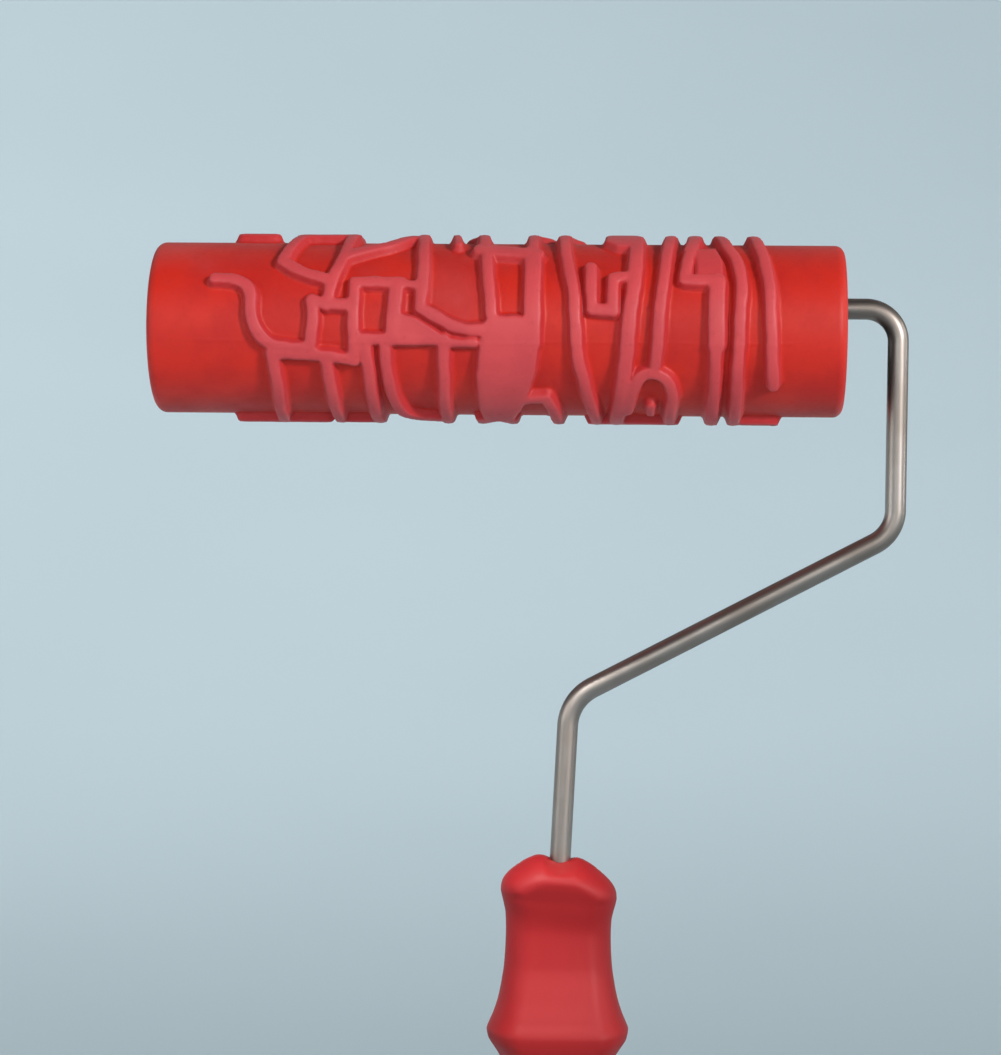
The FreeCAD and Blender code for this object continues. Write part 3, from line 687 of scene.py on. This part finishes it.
def surface_from(start, direction):
    """Where rays from inside the handle leave it."""
    near = np.zeros(direction.shape[:-1])
    far = np.full(direction.shape[:-1], LONGEST_RAY)
    for _ in range(HALVINGS):
        middle = (near + far) / 2
        inside = in_handle(start + direction * middle[..., None])
        near, far = np.where(inside, middle, near), np.where(inside, far, middle)
    return start + direction * near[..., None]


def handle_rings():
    """Rings of the handle from the wire's hole over the crown and down the grip to the pole socket."""
    turns = TAU * np.arange(HANDLE_AROUND) / HANDLE_AROUND
    flat = np.stack([np.cos(turns), np.sin(turns), np.zeros(HANDLE_AROUND)], -1)
    rings = []
    for rise in np.radians(np.linspace(STEEPEST_RAY, 0, CROWN_RINGS)):
        direction = flat * math.cos(rise) + np.array((0, 0, math.sin(rise)))
        rings.append(surface_from(np.array((0, 0, HUB_HEIGHT)), direction))
    for start, end, count in STATIONS:
        for z in np.linspace(start, end, count)[1:]:
            rings.append(surface_from(np.array((0, 0, z)), flat))
    rings = np.array(rings)
    fade = smoothstep(rings[..., 2], -176.0, -149.0)
    rings[..., 2] -= CROWN_TILT * rings[..., 0] * fade
    saddle = smoothstep(rings[..., 2], -143.0, -139.0) * np.exp(-(rings[..., 0] / SADDLE_WIDTH) ** 2)
    rings[..., 2] -= SADDLE_DEPTH * saddle
    across = rings[..., 0] * math.cos(HANDLE_TWIST) - rings[..., 1] * math.sin(HANDLE_TWIST)
    rings[..., 1] = rings[..., 0] * math.sin(HANDLE_TWIST) + rings[..., 1] * math.cos(HANDLE_TWIST)
    rings[..., 0] = across
    seam = np.arange(HANDLE_AROUND) % (HANDLE_AROUND // 2) == 0
    rings[:, seam, 0] += SEAM_HEIGHT * np.sign(rings[:, seam, 0])

    lip = rings[0]
    # (radius, drop below the lip), then (radius, height above the handle's end)
    hole = [(WIRE_RADIUS + 0.35, 0.12), (WIRE_RADIUS + 0.12, 0.45), (WIRE_RADIUS + 0.1, 4.0)]
    inner = [np.stack([r * flat[:, 0], r * flat[:, 1], lip[:, 2] - drop], -1) for r, drop in hole[::-1]]
    cavity = [(FLANGE_RADIUS + 0.25, 0), (FLANGE_RADIUS, 0.25), (FLANGE_RADIUS, FLANGE_DEPTH),
              (SOCKET_RADIUS, FLANGE_DEPTH), (SOCKET_RADIUS, SOCKET_DEPTH)]
    under = [np.stack([r * flat[:, 0], r * flat[:, 1], np.full(HANDLE_AROUND, HANDLE_END + up)], -1)
             for r, up in cavity]
    return np.concatenate([np.array(inner), rings, np.array(under)])


def handle():
    """The moulded handle, with the blind holes for the wire and for the pole socket's bush."""
    rings = handle_rings()
    vertices = rings.reshape(-1, 3)
    top, bottom = rings[0].mean(0), rings[-1].mean(0)
    faces = ring_faces(len(rings), HANDLE_AROUND, False)
    last = (len(rings) - 1) * HANDLE_AROUND
    for j in range(HANDLE_AROUND):
        k = (j + 1) % HANDLE_AROUND
        faces.append((j, k, len(vertices)))
        faces.append((last + j, last + k, len(vertices) + 1))
    vertices = np.concatenate([vertices, [top, bottom]]) + np.array((HANDLE_X, 0, 0))
    piece("moulded_handle", placed(vertices), faces, "frame",
          ["handle_body"], HANDLE_FINISH)


# ---------------------------------------------------------------- caps, washers and stops

CAP_BORE = 8.85
CAP_SKIRT_RADIUS = 17.8
CAP_RECESS_RADIUS = 16.6
CAP_RIM_RADIUS = 19.0
GROOVE_DEPTH, RIM_THICKNESS = 0.5, 1.2
WEB_FACE_X, WEB_BACK_X = 80.0, 76.0
HUB_END_X, HUB_RADIUS = 70.0, 11.25
WASHER_X, WASHER_THICKNESS, WASHER_RADIUS, WASHER_PLAY = 80.4, 1.2, 10.0, 0.08
STOP_X = 82.0
COLLAR_LENGTH, COLLAR_RADIUS = 4.5, 5.0
CRIMPS, CRIMP_DEPTH = 4, 0.45
ON_AXLE = (0, 0, AXLE_RISE)


def end_cap(side, name):
    """A plug with a flanged rim, a deep recess and a web with a ring-shaped groove."""
    groove_x, rim_back_x = WEB_FACE_X - GROOVE_DEPTH, HALF_LENGTH - RIM_THICKNESS
    outline = [
        (WEB_FACE_X, CAP_BORE, 0.5), (WEB_FACE_X, 12.4, 0.15), (groove_x, 12.8, 0.2),
        (groove_x, 15.0, 0.2), (WEB_FACE_X, 15.4, 0.15), (WEB_FACE_X, CAP_RECESS_RADIUS, 0.6),
        (HALF_LENGTH, CAP_RECESS_RADIUS, 0.4), (HALF_LENGTH, CAP_RIM_RADIUS, 0.3),
        (rim_back_x, CAP_RIM_RADIUS, 0.1), (rim_back_x, CAP_SKIRT_RADIUS, 0.1),
        (WEB_BACK_X, CAP_SKIRT_RADIUS, 0.4), (WEB_BACK_X, HUB_RADIUS, 0.4),
        (HUB_END_X, HUB_RADIUS, 0.4), (HUB_END_X, CAP_BORE, 0.4)]
    outline = [(side * x, r, rounding) for x, r, rounding in outline]
    vertices, faces = turned(outline, (0, 0, 0), around=144)
    piece(name + "_moulded", vertices, faces, "roller", [name], CAP_FINISH)


def washer(side, body, name):
    """A flat thrust washer, loose on the wire."""
    inner, outer_x = WIRE_RADIUS + WASHER_PLAY, WASHER_X + WASHER_THICKNESS
    outline = [(WASHER_X, inner, 0.2), (WASHER_X, WASHER_RADIUS, 0.35),
               (outer_x, WASHER_RADIUS, 0.15), (outer_x, inner, 0.2)]
    vertices, faces = turned([(side * x, r, rounding) for x, r, rounding in outline], ON_AXLE)
    piece(name + "_pressed", vertices, faces, body, [name], STEEL)


def stop_collar():
    """Ferrule crimped onto the wire at four places."""
    start, middle, end = STOP_X, STOP_X + COLLAR_LENGTH / 2, STOP_X + COLLAR_LENGTH
    outline = [(start, WIRE_RADIUS, 0.2), (start, COLLAR_RADIUS, 0.5), (middle - 1, COLLAR_RADIUS, 0.5),
               (middle + 1, COLLAR_RADIUS, 0.5), (end, COLLAR_RADIUS, 0.5), (end, WIRE_RADIUS, 0.2)]

    def crimped(x, r, angle):
        dent = smoothstep(math.cos(CRIMPS * angle), 0.2, 1.0)
        dent *= smoothstep(-abs(x - middle), -1.6, -0.4)
        return x, r - CRIMP_DEPTH * dent if r > COLLAR_RADIUS - 1 else r

    vertices, faces = turned(outline, ON_AXLE, shaped=crimped)
    piece("stop_collar_crimped", vertices, faces, "frame", ["stop_collar"], STEEL)


def push_nut():
    """Domed spring nut whose slotted hub bites the wire."""
    disc, hub, thick, height = 7.5, 4.6, 0.9, 2.6
    slots, slot_radius, slot_half_width = 6, 3.5, 0.42
    disc_x, hub_x = STOP_X + thick, STOP_X + height
    outline = [(STOP_X, hub - thick, 0.3), (STOP_X, disc, 0.15), (disc_x, disc, 0.5),
               (disc_x, hub, 0.35), (hub_x, hub, 0.7), (hub_x, WIRE_RADIUS, 0.1),
               (hub_x - thick, WIRE_RADIUS, 0.1), (hub_x - thick, hub - thick, 0.3)]

    def slotted(x, r, angle):
        across = abs((angle * slots / TAU + 0.5) % 1 - 0.5) * TAU / slots * WIRE_RADIUS
        return x, max(r, slot_radius) if across < slot_half_width else r

    outline = [(-x, r, rounding) for x, r, rounding in outline]
    vertices, faces = turned(outline, ON_AXLE, around=180, shaped=slotted)
    piece("push_nut_pressed", vertices, faces, "frame", ["push_nut"], STEEL)


def pole_socket_insert():
    """The blind bush in the handle's end."""
    bore, depth, on_axis = 9.0, 32.0, 0.02
    outline = [(0, bore, 0.5), (0, FLANGE_RADIUS, 0.3), (FLANGE_DEPTH, FLANGE_RADIUS, 0.1),
               (FLANGE_DEPTH, SOCKET_RADIUS, 0.1), (SOCKET_DEPTH, SOCKET_RADIUS, 0.3),
               (SOCKET_DEPTH, on_axis, 0), (depth, on_axis, 0), (depth, bore, 0.3)]
    vertices, faces = turned(outline, (HANDLE_X, 0, HANDLE_END), upright=True)
    piece("pole_socket_bush", vertices, faces, "frame",
          ["pole_socket_insert"], INSERT_FINISH)


rubber_sleeve()
wire_frame()
handle()
end_cap(-1, "end_cap_left")
end_cap(1, "end_cap_right")
washer(-1, "left_washer", "washer_left")
washer(1, "right_washer", "washer_right")
stop_collar()
push_nut()
pole_socket_insert()

core = frame["nodes"]["core_tube"]
core.data.materials.clear()
core.data.materials.append(CORE_FINISH)


# ---------------------------------------------------------------- stage, lights and camera

def stage():
    """A pale floor that curves up into a round backdrop."""
    flat, wide, high, steepening, around = 0.35, 2.7, 0.88, 2.2, 128
    profile = [(flat * k / 4, 0.0) for k in range(1, 5)]
    for t in np.linspace(0, 1, 25)[1:]:
        profile.append((flat + (wide - flat) * t, high * t ** steepening))
    vertices = [(0.0, 0.0, 0.0)]
    for radius, rise in profile:
        vertices += [(radius * math.cos(TAU * j / around), radius * math.sin(TAU * j / around), rise)
                     for j in range(around)]
    faces = [(0, 1 + j, 1 + (j + 1) % around) for j in range(around)]
    faces += [tuple(1 + v for v in quad[::-1]) for quad in ring_faces(len(profile), around, False)]
    mesh = bpy.data.meshes.new("floor")
    mesh.from_pydata(vertices, [], faces)
    mesh.shade_smooth()
    floor = bpy.data.objects.new("floor", mesh)
    bpy.context.scene.collection.objects.link(floor)
    paint = Recipe("floor_paint", Specular_IOR_Level=0.1)
    cloud = paint.noise(500, 2)
    colour = paint.mix(paint.spread(cloud, 0.3, 0.7), (0.70, 0.84, 0.90, 1), (0.68, 0.82, 0.88, 1))
    mesh.materials.append(paint.done(colour, 0.9, paint.bump(paint.noise(4, 2), 0.02)))


def softbox(name, place, size, power, aim=(0, 0, 0), spread=180):
    """An area lamp of (width, height); places are metres from the roller, spread is in degrees."""
    light = bpy.data.lights.new(name, "AREA")
    light.shape = "RECTANGLE"
    light.size, light.size_y = size
    light.energy = power
    light.spread = math.radians(spread)
    lamp = bpy.data.objects.new(name, light)
    lamp.visible_camera = False
    bpy.context.scene.collection.objects.link(lamp)
    lamp.location = ROLLER + Vector(place)
    lamp.rotation_euler = (Vector(aim) - Vector(place)).to_track_quat("-Z", "Y").to_euler()


stage()
softbox("strip", (1.30, 0.10, 0.32), (0.24, 0.8), 3.5)
softbox("panel", (0.40, -1.34, 0.32), (2.4, 0.64), 8.8)
softbox("fill", (-1.20, -0.70, 0.22), (0.9, 0.6), 4.0)
softbox("backdrop", (0, 0.7, 1.0), (2.4, 0.8), 5.8, aim=(0, 2.0, -0.2))
softbox("front_wall", (0, -0.9, 1.1), (2.4, 0.6), 5.0, aim=(0, -2.1, 0.3))
softbox("handle_face", (0.08, -0.12, -0.06), (0.12, 0.05), 0.022, aim=(0.0, -0.04, -0.25), spread=60)
softbox("handle_crown", (-0.02, -0.06, -0.06), (0.07, 0.03), 0.036, aim=(-0.01, -0.01, -0.14), spread=70)

KEY_FROM = Vector((0.68, -0.68, 0.30))      # right front and above
sun = bpy.data.lights.new("key", "SUN")
sun.energy = 2.05
sun.angle = math.radians(8)
key = bpy.data.objects.new("key", sun)
bpy.context.scene.collection.objects.link(key)
key.rotation_euler = (-KEY_FROM).to_track_quat("-Z", "Y").to_euler()

world = bpy.data.worlds.new("studio")
world.use_nodes = True
world.node_tree.nodes["Background"].inputs["Color"].default_value = (0.86, 0.93, 1.0, 1)
world.node_tree.nodes["Background"].inputs["Strength"].default_value = 0.10
bpy.context.scene.world = world
bpy.context.scene.view_settings.view_transform = "Standard"

# The photograph's view, from just below the roller's height and a little to the right
CAMERA_OFFSET = (38.6, -773.0, -52.0)
CAMERA_YAW, CAMERA_ROLL = 2.79, 0.57
LENS, SENSOR = 100.46, 36.0

camera_data = bpy.data.cameras.new("camera")
camera_data.sensor_width = SENSOR
camera_data.lens = LENS
camera = bpy.data.objects.new("camera", camera_data)
bpy.context.scene.collection.objects.link(camera)
camera.location = ROLLER + Vector(CAMERA_OFFSET) * MM
level = Matrix.Rotation(math.radians(CAMERA_YAW), 4, "Z") @ Matrix.Rotation(math.radians(90), 4, "X")
camera.rotation_euler = (level @ Matrix.Rotation(math.radians(CAMERA_ROLL), 4, "Z")).to_euler()
bpy.context.scene.camera = camera
